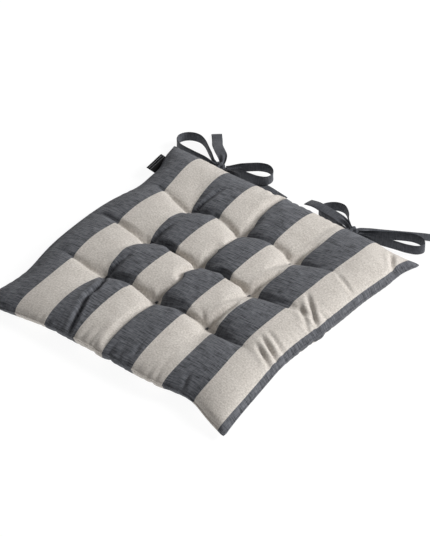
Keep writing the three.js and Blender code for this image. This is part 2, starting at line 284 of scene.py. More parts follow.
# ---- Meshes ---------------------------------------------------------------------------------
class Shape:
    """Points, faces and places on the cloth, gathered for one piece."""

    def __init__(self):
        self.points, self.faces, self.cloth = [], [], []

    def add(self, points, faces, cloth=None):
        start = len(self.points)
        points = np.asarray(points, float).reshape(-1, 3)
        self.points.extend(points.tolist())
        cloth = np.zeros((len(points), 2)) if cloth is None else np.asarray(cloth)
        self.cloth.extend(cloth.tolist())
        self.faces.extend([[start + k for k in face] for face in faces])

    def add_loops(self, loops, cloth=None):
        """A closed body through rings of points, (rings, ring points, 3), capped at both ends."""
        rings, count = loops.shape[:2]
        faces = []
        for r in range(rings - 1):
            for k in range(count):
                a, b = r * count + k, r * count + (k + 1) % count
                faces.append((a, b, b + count, a + count))
        faces.append(tuple(reversed(range(count))))
        faces.append(tuple(range((rings - 1) * count, rings * count)))
        self.add(loops.reshape(-1, 3), faces, None if cloth is None else cloth.reshape(-1, 2))

    def add_tube(self, line, radius, sides=6):
        """A round thread along a line, drawn in to a blunt point at both ends."""
        line = np.asarray(line, float)
        along = unit(np.gradient(line, axis=0))
        side = unit(np.cross(along, UP + 0.01))
        other = np.cross(side, along)
        t = np.linspace(0, 1, len(line))
        size = radius * np.sqrt(np.clip(1 - (2 * np.abs(t - 0.5)) ** 8, 0.05, 1))
        turn = np.arange(sides) * 2 * math.pi / sides
        ring = side[:, None] * np.cos(turn)[:, None] + other[:, None] * np.sin(turn)[:, None]
        self.add_loops(line[:, None] + ring * size[:, None, None])

    def make(self, name, look, slot, stands_for=()):
        mesh = bpy.data.meshes.new(name)
        mesh.from_pydata((np.array(self.points) * MM).tolist(), [], self.faces)
        mesh.shade_smooth()
        corners = np.zeros(len(mesh.loops), int)
        mesh.loops.foreach_get("vertex_index", corners)
        layer = mesh.uv_layers.new(name=CLOTH_MAP)
        layer.data.foreach_set("uv", (np.array(self.cloth)[corners] * MM).ravel())
        mesh.materials.append(look)
        piece = add_object(name, mesh)
        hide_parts(*stands_for)
        return piece


def unit(vectors):
    return vectors / np.maximum(np.linalg.norm(vectors, axis=-1, keepdims=True), 1e-9)


def smooth_line(points, step):
    """A centripetal Catmull-Rom curve through the points, cut into even steps."""
    p = np.array(points, float)
    p = np.vstack([2 * p[0] - p[1], p, 2 * p[-1] - p[-2]])
    knots = np.concatenate([[0], np.cumsum(np.sqrt(steps_between(p)))])
    fine = []
    for i in range(1, len(p) - 2):
        t0, t1, t2, t3 = knots[i - 1 : i + 3]
        for t in np.linspace(t1, t2, 16, endpoint=False):
            a = ((t1 - t) * p[i - 1] + (t - t0) * p[i]) / (t1 - t0)
            b = ((t2 - t) * p[i] + (t - t1) * p[i + 1]) / (t2 - t1)
            c = ((t3 - t) * p[i + 1] + (t - t2) * p[i + 2]) / (t3 - t2)
            ab = ((t2 - t) * a + (t - t0) * b) / (t2 - t0)
            bc = ((t3 - t) * b + (t - t1) * c) / (t3 - t1)
            fine.append(((t2 - t) * ab + (t - t1) * bc) / (t2 - t1))
    return even_line(np.array([*fine, p[-2]]), step)


def steps_between(line):
    return np.linalg.norm(np.diff(line, axis=0), axis=1)


def distance_along(line):
    """How far along the line each of its points is."""
    return np.concatenate([[0], np.cumsum(steps_between(line))])


def points_at(line, travelled, at):
    return np.stack([np.interp(at, travelled, line[:, k]) for k in range(3)], axis=1)


def even_line(line, step):
    travelled = distance_along(line)
    count = max(3, int(round(travelled[-1] / step)) + 1)
    return points_at(line, travelled, np.linspace(0, travelled[-1], count))


# ---- Cloth solver ---------------------------------------------------------------------------
CELLS = 96  # cells along each side of a panel
SETTLE_STEPS = 240
PASSES = 9  # passes over the links in each step
LOFT = 80  # the thickness at which the filling stops pushing
PUSH = 0.2  # how hard the compressed filling pushes, per step
WEIGHT = 0.02
BEND = 0.04
SHEAR = 0.15
SQUEEZE = 0.5  # how far cloth resists shortening; it resists stretching almost fully
STRETCH = 0.95
TUFT_Z, TUFT_HALF = 21, 2.5  # the tacks hold the panels together this high, this far apart
START_LEVEL, CORNER_DROP = 20, 10  # the seam's height at the start, and how much less at a corner
START_RISE, START_SWELL = 7, 16
UNEVEN = 0.15  # spread of the start's heights, so that wrinkles have something to grow from
LEAST_THICKNESS = 1.5
LEAST_LOFT_GAP = 0.5
RAMP = 0.25  # the share of the steps over which the push grows to its full strength
KEPT_SPEED, FASTEST = 0.9, 2.0
CORNER_PULL = 0.15
GROUND = 0.6
TOP, UNDER = 0, 1


def panel_coordinates():
    x = np.linspace(0, PANEL_WIDTH, CELLS + 1)
    y = np.linspace(0, PANEL_DEPTH, CELLS + 1)
    return x, y


def bulges(marks, at):
    """One half sine between each mark and the next."""
    out = np.zeros_like(at)
    for a, b in zip(marks[:-1], marks[1:]):
        inside = (at >= a) & (at <= b)
        out[inside] = np.sin(np.pi * (at[inside] - a) / (b - a))
    return out


def all_links(width, depth):
    """Every set of point pairs that a pass goes over, with its rest distance and stiffness."""
    n = CELLS + 1
    full = slice(None)
    links = []

    def straight(step, rest_x, rest_y, stretch, squeeze):
        for axis, rest in ((1, rest_x), (2, rest_y)):
            for start in range(2 * step):
                one, two = slice(start, n - step, 2 * step), slice(start + step, n, 2 * step)
                first = (full, one, full) if axis == 1 else (full, full, one)
                second = (full, two, full) if axis == 1 else (full, full, two)
                links.append((first, second, rest, stretch, squeeze))

    straight(1, width, depth, STRETCH, SQUEEZE)
    diagonal = math.hypot(width, depth)
    for i in (0, 1):
        for j in (0, 1):
            i_low, i_high = slice(i, n - 1, 2), slice(i + 1, n, 2)
            j_low, j_high = slice(j, n - 1, 2), slice(j + 1, n, 2)
            links.append(((full, i_low, j_low), (full, i_high, j_high), diagonal, SHEAR, SHEAR))
            links.append(((full, i_high, j_low), (full, i_low, j_high), diagonal, SHEAR, SHEAR))
    straight(2, 2 * width, 2 * depth, BEND, BEND)
    return links


def pull(cloth, free, first, second, rest, stretch, squeeze):
    """Moves each pair of points towards its rest distance."""
    a, b = cloth[first], cloth[second]
    gap = b - a
    length = np.sqrt((gap * gap).sum(-1, keepdims=True)) + 1e-9
    excess = length - rest
    share = np.where(excess > 0, stretch, squeeze) / np.maximum(free[first] + free[second], 1)
    move = gap * (excess * share / length)
    a += move * free[first]
    b -= move * free[second]


RIMS = (np.s_[:, 0], np.s_[:, -1], np.s_[0, :], np.s_[-1, :])


def sew_rims(cloth, stiffness=0.08):
    """Holds the two panels' rims together and keeps the seam from kinking."""
    for rim in RIMS:
        middle = (cloth[TOP][rim] + cloth[UNDER][rim]) / 2
        for reach in (1, 3):
            between = (middle[2 * reach :] + middle[: -2 * reach]) / 2
            middle[reach:-reach] += (between - middle[reach:-reach]) * stiffness
        cloth[TOP][rim] = middle
        cloth[UNDER][rim] = middle


def panel_normals(cloth):
    along_x = np.gradient(cloth, axis=1)
    along_y = np.gradient(cloth, axis=2)
    normals = np.cross(along_x, along_y)
    normals[UNDER] *= -1
    return unit(normals)


def calmed(field, amount):
    around = field.copy()
    around[:, 1:-1, 1:-1] = (
        field[:, 2:, 1:-1] + field[:, :-2, 1:-1] + field[:, 1:-1, 2:] + field[:, 1:-1, :-2]
    ) / 4
    return field + (around - field) * amount


def starting_shape(tufts, edges):
    """Both panels laid out over their plan and already a little swollen."""
    x, y = panel_coordinates()
    marks_x = [0, *(TUFT_CLOTH_X[c] for c in COLUMNS), PANEL_WIDTH]
    marks_y = [0, *(TUFT_CLOTH_Y[r] for r in ROWS), PANEL_DEPTH]
    middle_row = [tufts["centre", c][0] for c in COLUMNS]
    middle_column = [tufts[r, "middle"][1] for r in ROWS]
    plan_x = np.interp(x, marks_x, [edges["left"], *middle_row, edges["right"]])
    plan_y = np.interp(y, marks_y, [edges["front"], *middle_column, edges["rear"]])
    u = 2 * x / PANEL_WIDTH - 1
    v = 2 * y / PANEL_DEPTH - 1
    inside = (1 - np.abs(u) ** 8)[:, None] * (1 - np.abs(v) ** 8)[None, :]
    swell = np.sqrt(np.maximum(bulges(marks_x, x)[:, None] * bulges(marks_y, y)[None, :], 0))
    level = START_LEVEL - CORNER_DROP * (u[:, None] * v[None, :]) ** 2
    rise = (START_RISE + START_SWELL * swell) * inside
    cloth = np.zeros((2, CELLS + 1, CELLS + 1, 3), np.float32)
    cloth[..., 0] = plan_x[:, None]
    cloth[..., 1] = plan_y[None, :]
    cloth[TOP, ..., 2] = level + rise
    cloth[UNDER, ..., 2] = np.maximum(level - rise, GROUND)
    uneven = np.random.default_rng(3).standard_normal(cloth.shape[:3])
    cloth[..., 2] += UNEVEN * uneven * inside
    return cloth


def settle(tufts, edges, corners):
    """Swells the tufted pad until it rests, and gives both panels' points."""
    cloth = starting_shape(tufts, edges)
    free = np.ones((2, CELLS + 1, CELLS + 1, 1), np.float32)
    pins = []
    for (row, column), (tuft_x, tuft_y) in tufts.items():
        i = round(TUFT_CLOTH_X[column] / PANEL_WIDTH * CELLS)
        j = round(TUFT_CLOTH_Y[row] / PANEL_DEPTH * CELLS)
        for panel, side in ((TOP, 1), (UNDER, -1)):
            pins.append((panel, i, j, (tuft_x, tuft_y, TUFT_Z + side * TUFT_HALF)))
            free[panel, i, j] = 0
    links = all_links(PANEL_WIDTH / CELLS, PANEL_DEPTH / CELLS)
    speed = np.zeros_like(cloth)
    for step in range(SETTLE_STEPS):
        before = cloth.copy()
        thickness = np.maximum(cloth[TOP, ..., 2] - cloth[UNDER, ..., 2], LEAST_LOFT_GAP)
        push = PUSH * np.clip((LOFT - thickness) / LOFT, -0.5, 1)[None, ..., None]
        ramp = min(1, step / (SETTLE_STEPS * RAMP))
        speed = calmed(speed, 0.5) * KEPT_SPEED + panel_normals(cloth) * push * ramp
        speed[..., 2] -= WEIGHT
        cloth = (cloth + speed * free).astype(np.float32)
        for panel, i, j, place in pins:
            cloth[panel, i, j] = place
        for _ in range(PASSES):
            for link in links:
                pull(cloth, free, *link)
            sew_rims(cloth)
            cloth[..., 2] = np.maximum(cloth[..., 2], GROUND)
            thin = np.maximum(LEAST_THICKNESS - (cloth[TOP, ..., 2] - cloth[UNDER, ..., 2]), 0)
            thin *= free[TOP, ..., 0]
            for rim in RIMS:
                thin[rim] = 0
            cloth[TOP, ..., 2] += thin / 2
            cloth[UNDER, ..., 2] -= thin / 2
        for (i, j), place in corners.items():
            cloth[:, i, j] += (np.array(place) - cloth[:, i, j]) * CORNER_PULL
        speed = cloth - before
        rate = np.linalg.norm(speed, axis=-1, keepdims=True)
        speed *= np.minimum(1, FASTEST / (rate + 1e-9))
        speed = np.where((cloth[..., 2] < GROUND + 0.5)[..., None], speed * 0.5, speed)
    return cloth.astype(float)


# ---- The pad's covers -------------------------------------------------------------------------
def finer(grid):
    """The same surface with a point added between every two, along both directions."""
    for axis in (0, 1):
        g = np.moveaxis(grid, axis, 0)
        out = np.zeros((2 * len(g) - 1, *g.shape[1:]))
        out[::2] = g
        out[1::2] = (g[:-1] + g[1:]) / 2
        out[3:-3:2] = (9 * (g[1:-2] + g[2:-1]) - g[:-3] - g[3:]) / 16
        grid = np.moveaxis(out, 0, axis)
    return grid


def grid_normals(grid, side):
    return unit(np.cross(np.gradient(grid, axis=0), np.gradient(grid, axis=1))) * side


PRESS_FROM = 23  # lower than this, the cloth stays as it settled
SWOLLEN, PRESSED = 62, 50  # the tallest puffs as they settled, and as they are pressed
PRESS_BEND = 1.4
FRONT_THINNER, LEFT_THINNER = 12, 6  # the wadding thins by this much towards these two edges
FRONT_TAPER, LEFT_TAPER = 160, 90  # over this distance

# Where the seam holds the edge back, as (x, y, move x, move y, reach).
EDGE_PULLS = (
    (-212, 118, 13, 0, 48),
    (-218, -160, 15, 0, 62),
    (150, -218, -2, 14, 42),
    (222, -59, -5, 0, 60),
    (-216, 168, 7, 0, 26),
    (204, 206, -12, -5, 26),
)


def press_down(points):
    """The crests of the puffs as they are after lying packed: lower and flatter."""
    cloth = cloth_coordinates(len(points))
    from_left = np.clip(1 - cloth[..., 0] / LEFT_TAPER, 0, 1)
    from_front = np.clip(1 - cloth[..., 1] / FRONT_TAPER, 0, 1)
    crest = PRESSED - FRONT_THINNER * from_front**1.5 - LEFT_THINNER * from_left**1.5
    share = np.clip((points[..., 2] - PRESS_FROM) / (SWOLLEN - PRESS_FROM), 0, 1)
    height = PRESS_FROM + (crest - PRESS_FROM) * (1 - (1 - share) ** PRESS_BEND)
    points[..., 2] = np.where(points[..., 2] > PRESS_FROM, height, points[..., 2])


LEVEL_SPREAD = 16  # how many points each way the wadding evens out along the left side
LEVEL_SHARE = 0.8
LEVEL_FROM, LEVEL_RAMP = 30, 60  # it starts this far from a corner and grows over this distance


def even_out_left(points):
    """The wadding beside the left edge lies evenly, so the valleys run out before the edge."""
    span = 2 * LEVEL_SPREAD
    kernel = np.exp(-((np.arange(-span, span + 1) / LEVEL_SPREAD) ** 2))
    kernel /= kernel.sum()
    cloth = cloth_coordinates(len(points))
    from_left = np.clip(1 - cloth[..., 0] / TUFT_CLOTH_X["left"], 0, 1) ** 0.7
    from_ends = np.minimum(cloth[..., 1], PANEL_DEPTH - cloth[..., 1])
    share = LEVEL_SHARE * from_left * np.clip((from_ends - LEVEL_FROM) / LEVEL_RAMP, 0, 1)
    for axis in (0, 2):
        padded = np.pad(points[..., axis], ((0, 0), (span, span)), mode="edge")
        level = np.array([np.convolve(line, kernel, mode="valid") for line in padded])
        points[..., axis] += (level - points[..., axis]) * share


def draw_in_edges(points):
    """The seam's outline, bowed in where EDGE_PULLS says so."""
    for x, y, move_x, move_y, reach in EDGE_PULLS:
        away = np.hypot(points[..., 0] - x - PAD_SHIFT, points[..., 1] - y)
        near = np.exp(-((away / reach) ** 2))
        points[..., 0] += move_x * near
        points[..., 1] += move_y * near


# Folds that run out from the tufts, as (row, column, heading in degrees from the right, length,
# depth): the heading turns anticlockwise seen from above. A fold is steep on its left and eases
# out on its right.
CREASES = (
    ("rear", "left", 78, 66, 10.0),
    ("rear", "middle", 80, 48, 8.5),
    ("rear", "right", 74, 54, 9.0),
    ("centre", "left", 78, 52, 8.0),
    ("centre", "middle", 80, 50, 8.0),
    ("centre", "right", 76, 60, 9.0),
    ("front", "left", 76, 46, 8.0),
    ("front", "middle", 78, 50, 8.0),
    ("front", "right", 76, 60, 9.0),
    ("front", "left", -66, 62, 8.0),
)
CREASE_REACH = (4.5, 7)
CREASE_SHARE = 0.42  # the most that a crease takes of the room between the panels
CREASE_CLEAR = 4  # and it leaves this much of it

# The line pressed into the cloth along each row of tufts, and how it fades towards the sides.
VALLEY_DEPTH, VALLEY_REACH = 8.5, 3.6
VALLEY_LEFT, VALLEY_RIGHT = (25, 60), (50, 70)  # from the edge, and over how far it grows

# Pleats pressed in where the seam draws the cloth up, as (from x, from y, to x, to y, depth).
PLEATS = (
    (165, 44, 218, 0, 6.5),
    (168, 22, 212, -14, 4.0),
    (168, -70, 222, -92, 7.0),
    (172, -86, 218, -108, 5.5),
    (168, -56, 214, -72, 3.0),
    (172, 108, 214, 92, 3.5),
    (-88, -108, -84, -176, 9.0),
    (-85, -150, -64, -222, 11.0),
    (40, -180, 46, -210, 3.0),
    (130, -184, 138, -214, 3.0),
    (196, 214, 228, 176, 8.0),
    (222, 206, 226, 150, 6.0),
)
PLEAT_REACH = (4.5, 5.5)
SHOULDER = 0.15  # the raised cloth beside a crease, as a share of its depth


def groove(points, start, end, depth, reach, fade):
    """How far each point sinks into a crease drawn from start to end. reach is how wide it is on
    its left and on its right; each side has a raised shoulder."""
    start, end = np.array(start, float), np.array(end, float)
    along = end - start
    length = np.linalg.norm(along)
    offset = points[..., :2] - start
    t = (offset @ along) / length**2
    to_right = (offset[..., 0] * along[1] - offset[..., 1] * along[0]) / length
    away = np.abs(to_right) / np.where(to_right > 0, reach[1], reach[0])
    sunk = np.maximum(1 - away, 0) ** 1.3
    shoulder = np.exp(-(((away - 1.6) / 0.6) ** 2))
    strength = fade(np.clip(t, 0, 1)) * ((t > -0.02) & (t < 1.02))
    return depth * strength * (sunk - SHOULDER * shoulder)


def row_valleys(cloth):
    """How deep the tacks press the cloth in along each row."""
    across, along = cloth[..., 0], cloth[..., 1]
    fade = 1
    for from_edge, (start, grow) in ((across, VALLEY_LEFT), (PANEL_WIDTH - across, VALLEY_RIGHT)):
        fade = fade * np.clip((from_edge - start) / grow, 0, 1)
    along = along - 2 * np.sin(across / 23)
    lines = [np.exp(-np.abs(along - mark) / VALLEY_REACH) for mark in TUFT_CLOTH_Y.values()]
    return VALLEY_DEPTH * fade * sum(lines)


PUCKER_RADIUS, PUCKER_SPREAD = 12, 7


def tuft_puckers(points, tufts):
    """Small folds that radiate from every tack."""
    total = np.zeros(points.shape[:2])
    for k, (tuft_x, tuft_y) in enumerate(tufts.values()):
        dx, dy = points[..., 0] - tuft_x, points[..., 1] - tuft_y
        r = np.hypot(dx, dy)
        angle = np.arctan2(dy, dx)
        folds = np.cos(7 * angle + 1.3 * k) + 0.5 * np.cos(4 * angle + 2.1 * k)
        total += 0.5 * folds * np.exp(-(((r - PUCKER_RADIUS) / PUCKER_SPREAD) ** 2))
    return total


GATHER_HEIGHT, GATHER_FADE, GATHER_PITCH = 0.55, 9, 13


def seam_gathers(count, side):
    """Fine gathers that the seam leaves in the cloth beside it."""
    at = np.linspace(0, (PANEL_WIDTH + PANEL_DEPTH) / 2, count)
    close = np.exp(-np.minimum(at, at[-1] - at) / GATHER_FADE)
    ripple = np.sin(at * 2 * math.pi / GATHER_PITCH + 2.2 * np.sin(at / 31) + side)
    return GATHER_HEIGHT * (close[:, None] * ripple[None, :] + close[None, :] * ripple[:, None])


def shaped_panels(panels):
    """Both settled panels with more points, drawn in at the edge and pressed down."""
    top, under = finer(panels[TOP]), finer(panels[UNDER])
    for panel in (top, under):
        even_out_left(panel)
        draw_in_edges(panel)
    press_down(top)
    return top, under


def crease_fade(t):
    """A crease is deep beside its tack and dies out along its length."""
    return np.minimum(6 * t, 1) * (1 - t) ** 0.6


def pleat_fade(t):
    return np.sin(np.pi * t) ** 0.7


def creases_and_pleats(points, tufts):
    """How far the upper panel sinks into its single folds."""
    sunk = 0
    for row, column, heading, length, depth in CREASES:
        start = np.array(tufts[row, column])
        turn = math.radians(heading)
        end = start + length * np.array([math.cos(turn), math.sin(turn)])
        sunk = sunk + groove(points, start, end, depth, CREASE_REACH, crease_fade)
    for x0, y0, x1, y1, depth in PLEATS:
        start, end = (x0 + PAD_SHIFT, y0), (x1 + PAD_SHIFT, y1)
        sunk = sunk + groove(points, start, end, depth, PLEAT_REACH, pleat_fade)
    return sunk


def finished_surface(points, side, tufts, room):
    """One panel with its creases, pleats, puckers and gathers worked in. room is how far it lies
    from the other panel: no crease takes more than its share of that."""
    normals = unit(grid_normals(points, side) + 1.5 * side * UP)
    sunk = row_valleys(cloth_coordinates(len(points)))
    if side > 0:
        sunk += creases_and_pleats(points, tufts)
    sunk = np.minimum(sunk, np.maximum(CREASE_SHARE * (room - CREASE_CLEAR), 0))
    lift = tuft_puckers(points, tufts) + seam_gathers(len(points), side) - sunk
    u = np.linspace(-1, 1, len(points))
    lift *= (1 - np.abs(u) ** 60)[:, None] * (1 - np.abs(u) ** 60)[None, :]
    points = points + normals * lift[..., None]
    points[..., 2] = np.maximum(points[..., 2], GROUND)
    near_rim = np.maximum(np.abs(u)[:, None], np.abs(u)[None, :]) ** 30
    points[..., 2] += side * CLOTH_THICKNESS * near_rim
    return points


def cloth_coordinates(count):
    x = np.linspace(0, PANEL_WIDTH, count)
    y = np.linspace(0, PANEL_DEPTH, count)
    return np.stack(np.meshgrid(x, y, indexing="ij"), axis=-1)


def thin_shell(outer, inner, cloth, side):
    """A closed shell between two grids of points. side is 1 where the outer one faces up."""
    n, m = outer.shape[:2]
    index = np.arange(n * m).reshape(n, m)
    low, high = index, index + n * m
    quads = []

    def sheet(grid, flip):
        a, b, c, d = grid[:-1, :-1], grid[1:, :-1], grid[1:, 1:], grid[:-1, 1:]
        corners = (d, c, b, a) if flip else (a, b, c, d)
        quads.append(np.stack(corners, axis=-1).reshape(-1, 4))

    sheet(low, side < 0)
    sheet(high, side > 0)
    loop_low, loop_high = rim_loop(low), rim_loop(high)
    after_low, after_high = np.roll(loop_low, -1), np.roll(loop_high, -1)
    rim = np.stack([loop_low, loop_high, after_high, after_low], axis=-1)
    quads.append(rim if side > 0 else rim[:, ::-1])
    shape = Shape()
    points = np.concatenate([outer.reshape(-1, 3), inner.reshape(-1, 3)])
    shape.add(points, np.concatenate(quads).tolist(), np.concatenate([cloth.reshape(-1, 2)] * 2))
    return shape


def rim_loop(grid):
    """The values round the rim of a grid, anticlockwise from its front left corner."""
    return np.concatenate([grid[:-1, 0], grid[-1, :-1], grid[:0:-1, -1], grid[0, :0:-1]])


def make_cover(name, surface, side, look):
    cloth = cloth_coordinates(len(surface))
    inner = surface - grid_normals(surface, side) * CLOTH_THICKNESS
    inner[..., 2] = np.maximum(inner[..., 2], GROUND)
    shell = thin_shell(surface, inner, cloth, side)
    cover = shell.make(f"{name}_cloth", look, "cover_fabric", [name])
    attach(cover, "pad")
    return cover


# ---- Seam, tacks and filling --------------------------------------------------------------------
# The seam's section: outwards, upwards. The two rolled edges leave a narrow groove between them.
SEAM_SECTION = (
    (-1.4, 1.0), (-0.3, 1.35), (0.7, 1.2), (1.35, 0.7), (0.95, 0.0),
    (1.35, -0.7), (0.7, -1.2), (-0.3, -1.35), (-1.4, -1.0),
)
SEAM_STITCH = dict(pitch=3.0, length=2.1, lift=0.25)
SEAM_THREAD_RADIUS, SEAM_THREAD_OUT = 0.28, 0.9


def rim_frames(top, under):
    """The seam line and, at each of its points, the directions outwards and up."""
    line = (rim_loop(top) + rim_loop(under)) / 2
    along = unit(np.roll(line, -2, axis=0) - np.roll(line, 2, axis=0))
    out = unit(np.cross(along, UP))
    up = np.cross(out, along)
    return line, out, up


def make_seam(top, under, look, thread):
    line, out, up = rim_frames(top, under)
    cloth = rim_loop(cloth_coordinates(len(top)))
    section = np.array(SEAM_SECTION)
    rings = line[:, None] + out[:, None] * section[None, :, :1] + up[:, None] * section[None, :, 1:]
    count, sides = rings.shape[:2]
    index = np.arange(count * sides).reshape(count, sides)
    after = np.roll(index, -1, axis=0)
    above, after_above = np.roll(index, -1, axis=1), np.roll(after, -1, axis=1)
    faces = np.stack([index, after, after_above, above], axis=-1)
    shape = Shape()
    shape.add(rings, faces.reshape(-1, 4).tolist(), np.repeat(cloth, sides, axis=0))
    seam = shape.make("edge_seam_fold", look, "cover_fabric", ["edge_seam"])
    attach(seam, "pad")
    stitches = Shape()
    threaded = line + out * SEAM_THREAD_OUT
    for stitch in stitch_lines(np.vstack([threaded, threaded[:1]]), direction=UP, **SEAM_STITCH):
        stitches.add_tube(stitch, SEAM_THREAD_RADIUS, 5)
    sewn = stitches.make("edge_seam_stitches", thread, "seam_thread")
    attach(sewn, "pad")


def stitch_lines(line, pitch, length, lift=0.0, direction=UP):
    """Short arcs of thread along a line, each one dipping into the cloth at both ends."""
    travelled = distance_along(line)
    hump = np.sin(np.linspace(0, np.pi, 5))[:, None]
    return [
        points_at(line, travelled, start + np.linspace(0, 1, 5) * length)
        + direction * (hump * 2 - 1) * lift
        for start in np.arange(0.5 * pitch, travelled[-1] - pitch, pitch)
    ]


TACK_LENGTH = 8
TACK_STRANDS = 5
TACK_THREAD_RADIUS = 0.42
TACK_SHANK_RADIUS = 0.7


def make_tack(row, column, top, under, look):
    """A bar of thread laid across the dimple on each face, and the threads between the two."""
    shape = Shape()
    i = 2 * round(TUFT_CLOTH_X[column] / PANEL_WIDTH * CELLS)
    j = 2 * round(TUFT_CLOTH_Y[row] / PANEL_DEPTH * CELLS)
    high, low = top[i, j], under[i, j]
    t = np.linspace(-1, 1, 9)
    for face, side in ((high, 1), (low, -1)):
        for strand in range(TACK_STRANDS):
            offset = (strand - (TACK_STRANDS - 1) / 2) * 1.7 * TACK_THREAD_RADIUS
            bar_x = offset + 0.5 * np.sin(3 * t + strand)
            bar_z = side * (1.3 - 3.2 * t**4)
            bar = np.stack([bar_x, t * TACK_LENGTH / 2, bar_z], axis=1)
            shape.add_tube(face + bar, TACK_THREAD_RADIUS)
    middle = (high + low) / 2
    height = np.linspace(low[2] - 0.5, high[2] + 0.5, 12)
    for strand in range(4):
        turn = np.linspace(0, 2 * math.pi, 12) + strand * math.pi / 2
        shank_x = middle[0] + TACK_SHANK_RADIUS * np.cos(turn)
        shank_y = middle[1] + TACK_SHANK_RADIUS * np.sin(turn)
        shape.add_tube(np.stack([shank_x, shank_y, height], axis=1), TACK_THREAD_RADIUS)
    node = f"tuft_tack_{row}_{column}"
    tack = shape.make(f"{node}_thread", look, "tuft_thread", [node])
    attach(tack, "pad")


FILLING_INSET = 6  # how many points it stops short of the seam
FILLING_CLEAR = 1.6  # between the filling and each cover
FILLING_LEAST = 0.3
FILLING_FLUFF = 0.25


def lowest_around(height, reach):
    """The lowest value within reach points of each one, both ways."""
    for axis in (0, 1):
        height = np.min([np.roll(height, k, axis) for k in range(-reach, reach + 1)], axis=0)
    return height


def make_filling(top, under, look):
    """The fibre between the covers: the covers' shape, a little smaller and fluffy."""
    keep = slice(FILLING_INSET, -FILLING_INSET, 2)
    upper, lower = top[keep, keep].copy(), under[keep, keep].copy()
    fluff = np.random.default_rng(11).standard_normal(upper.shape[:2]) * FILLING_FLUFF
    high = lowest_around(top[..., 2], 3)[keep, keep] - FILLING_CLEAR + fluff
    low = -lowest_around(-under[..., 2], 3)[keep, keep] + FILLING_CLEAR
    middle = (high + low) / 2
    half = np.maximum((high - low) / 2, FILLING_LEAST / 2)
    upper[..., 2], lower[..., 2] = middle + half, middle - half
    shape = thin_shell(upper, lower, cloth_coordinates(2 * CELLS + 1)[keep, keep], 1)
    filling = shape.make("filling_wadding", look, "filling_fibre", ["filling"])
    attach(filling, "pad")


# ---- Ribbons ------------------------------------------------------------------------------------
# Routes of the ribbon stretches, in the pad's own millimetres, as the CAD model has them. A loop
# stands on its edge and a tail lies flat.
ROUTES = {
    "left": dict(
        knot=(-141, 234, 12),
        a_loop=[
            (-149, 236, 11), (-162, 243, 10), (-181, 256, 9.6), (-199, 269, 9.6), (-212, 274, 9.6),
            (-225, 272, 9.6), (-235, 264, 9.6), (-239, 253, 9.6), (-235, 243, 9.6), (-222, 237, 9.6),
            (-200, 235, 9.6), (-176, 234, 10), (-160, 233, 10.5), (-149, 233, 11),
        ],
        b_loop=[
            (-133, 237, 12), (-120, 249, 12), (-106, 262, 12), (-93, 272, 12), (-80, 276, 12),
            (-69, 272, 12), (-62, 262, 12), (-64, 251, 12), (-75, 244, 12), (-90, 241, 12),
            (-106, 239, 12), (-120, 236, 12), (-133, 232, 12),
        ],
        a_tail=[
            (-143.5, 241, 15), (-151, 251, 17), (-166, 263, 16), (-180, 276, 11), (-193, 292, 5),
            (-206, 307, 2),
        ],
        b_tail=[
            (-137, 241, 5), (-124, 246, 2.4), (-106, 247, 1.1), (-84, 247, 1.1), (-62, 246, 1.1),
            (-42, 243, 1.1), (-23, 240, 1.1),
        ],
    ),
    "right": dict(
        knot=(113, 234, 12),
        a_loop=[
            (105, 237, 10), (93, 250, 9.6), (82, 263, 9.6), (70, 271, 9.6), (58, 270, 9.6),
            (48, 263, 9.6), (42, 253, 9.6), (42, 243, 9.6), (50, 237, 9.6), (66, 235, 9.6),
            (85, 233, 9.6), (105, 231, 10),
        ],
        b_loop=[
            (121, 237, 12), (137, 245, 11), (156, 258, 10), (176, 271, 9.6), (195, 279, 9.6),
            (211, 278, 9.6), (219, 269, 9.6), (214, 259, 9.6), (199, 252, 9.6), (179, 248, 9.6),
            (158, 243, 10), (138, 237, 11), (121, 232, 12),
        ],
        a_tail=[
            (104, 232, 21), (88, 236, 21.4), (70, 239, 21.4), (52, 241, 21), (36, 244, 19.4),
            (17, 248, 12),
        ],
        b_tail=[
            (117, 243, 10), (125, 253, 5), (139, 265, 2), (160, 279, 1.1), (183, 292, 1.1),
            (205, 303, 1.1), (226, 311, 1.1),
        ],
    ),
}
GATHER = 0.35  # a ribbon's width where a knot grips it, as a share of its own
GATHER_REACH = dict(loop=26, tail=36)  # how far from the knot it takes to reach full width
FOLD_DEPTH = 0.17  # how deep a fully gathered ribbon folds, as a share of its width
HEM, HEM_BULK = 8, 1.25  # the folded end of a tail, and how much thicker it is
TAIL_GRIP = 6  # a tail starts this far to the pad's side of its knot's middle
STITCH_INSET = 0.76  # the two rows of stitches, as a share of half the width
TOPSTITCH = dict(pitch=2.8, length=2.0)
TOPSTITCH_RADIUS = 0.17
TOPSTITCH_HUMP = np.array([-0.15, 0.12, 0.2, 0.12, -0.15])[:, None]
SECTION_POINTS = 17


def ribbon_frames(line, standing):
    """At each point, the direction across the ribbon and the one through it."""
    along = unit(np.gradient(line, axis=0))
    level = unit(np.cross(UP, along))
    upright = np.cross(along, level)
    return (upright, -level) if standing else (level, upright)


def ribbon_half_thickness(a, travelled, hem):
    """Half the ribbon's thickness, along it and across it: rounded edges, and a dip at each row of
    stitches."""
    edge = np.sqrt(np.clip(1 - np.clip((np.abs(a) - 0.9) / 0.1, 0, 1) ** 2, 0.02, 1))
    dip = 1 - 0.4 * np.exp(-(((np.abs(a) - STITCH_INSET) / 0.06) ** 2))
    left = travelled[-1] - travelled
    bulk = np.where(hem & (left < HEM), HEM_BULK, 1.0)
    bulk *= np.clip(np.minimum(left, travelled) / 0.5 + 0.6, 0.6, 1)
    return RIBBON_THICKNESS / 2 * (edge * dip)[None, :] * bulk[:, None]


